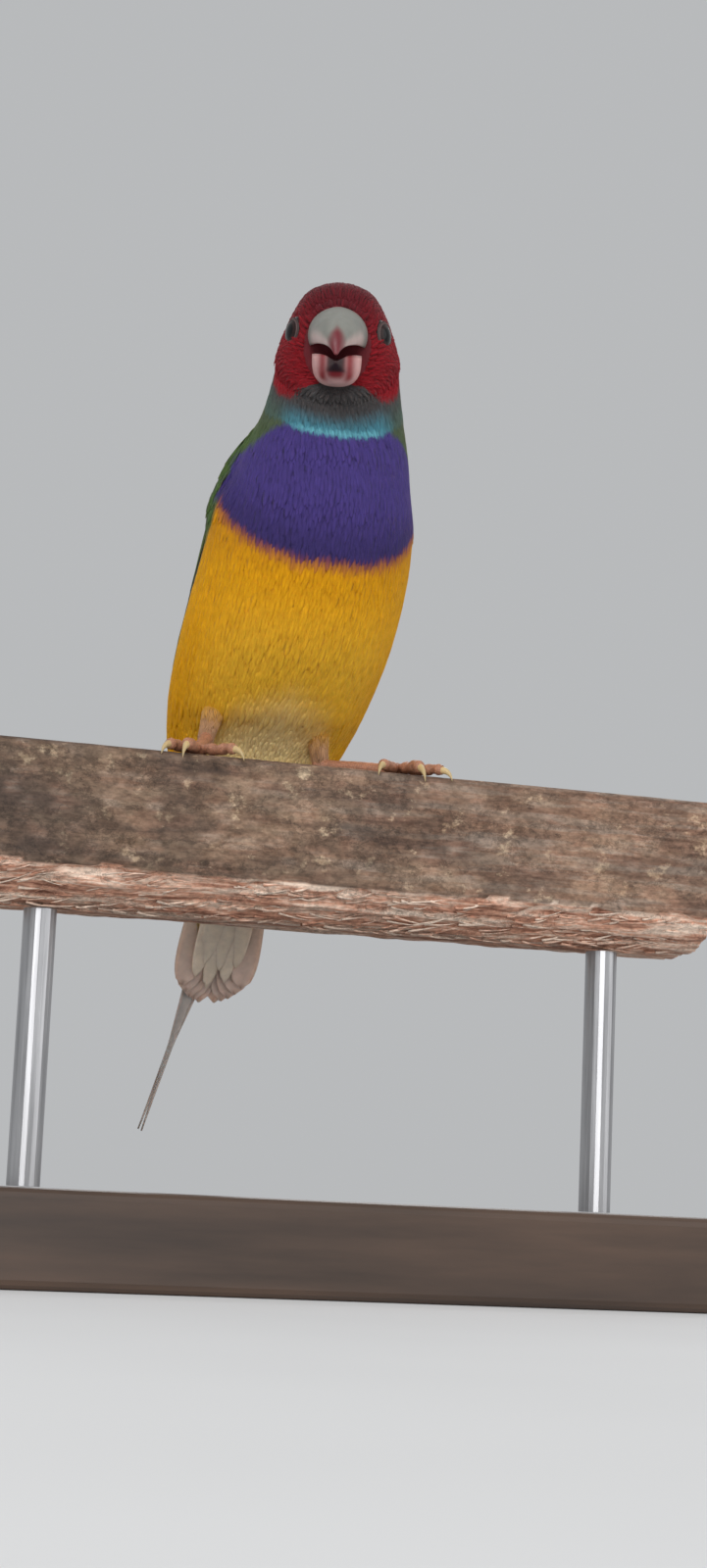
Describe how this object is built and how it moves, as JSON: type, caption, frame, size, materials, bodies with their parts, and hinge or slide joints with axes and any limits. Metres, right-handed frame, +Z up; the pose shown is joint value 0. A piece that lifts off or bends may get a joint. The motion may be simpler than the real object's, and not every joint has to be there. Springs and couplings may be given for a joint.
{
  "type": "perched gouldian finch figure",
  "caption": "Life-size still Gouldian finch gripping a cut length of batten, held up by two short rods on a flat base.",
  "frame": {"origin": "centre of the base's underside, on the floor", "axes": "+Z up, X along the perch, -Y the way the bird's body faces; the bird's left side is at +X"},
  "size_m": [0.112, 0.078, 0.1383],
  "materials": {
    "body_feathers": "matte",
    "mask_feathers": "matte",
    "wing_feathers": "matte",
    "tail_feathers": "matte",
    "bill_horn": "satin",
    "leg_skin": "satin",
    "claw_horn": "satin",
    "eye": "gloss",
    "perch_wood": "matte",
    "stand_wood": "satin",
    "stand_steel": "satin"
  },
  "bodies": {
    "root": {"bill_lower": "bill_horn", "bill_upper": "bill_horn", "claw_left_hind": "claw_horn", "claw_left_inner": "claw_horn", "claw_left_middle": "claw_horn", "claw_left_outer": "claw_horn", "claw_right_hind": "claw_horn", "claw_right_inner": "claw_horn", "claw_right_middle": "claw_horn", "claw_right_outer": "claw_horn", "eye_left": "eye", "eye_right": "eye", "foot_left": "leg_skin", "foot_right": "leg_skin", "head": "mask_feathers", "neck": "body_feathers", "perch": "perch_wood", "stand_base": "stand_wood", "stand_rod_left": "stand_steel", "stand_rod_right": "stand_steel", "tail": "tail_feathers", "tarsus_left": "leg_skin", "tarsus_right": "leg_skin", "thigh_left": "body_feathers", "thigh_right": "body_feathers", "torso": "body_feathers", "wing_left": "wing_feathers", "wing_right": "wing_feathers"}
  },
  "joints": []
}
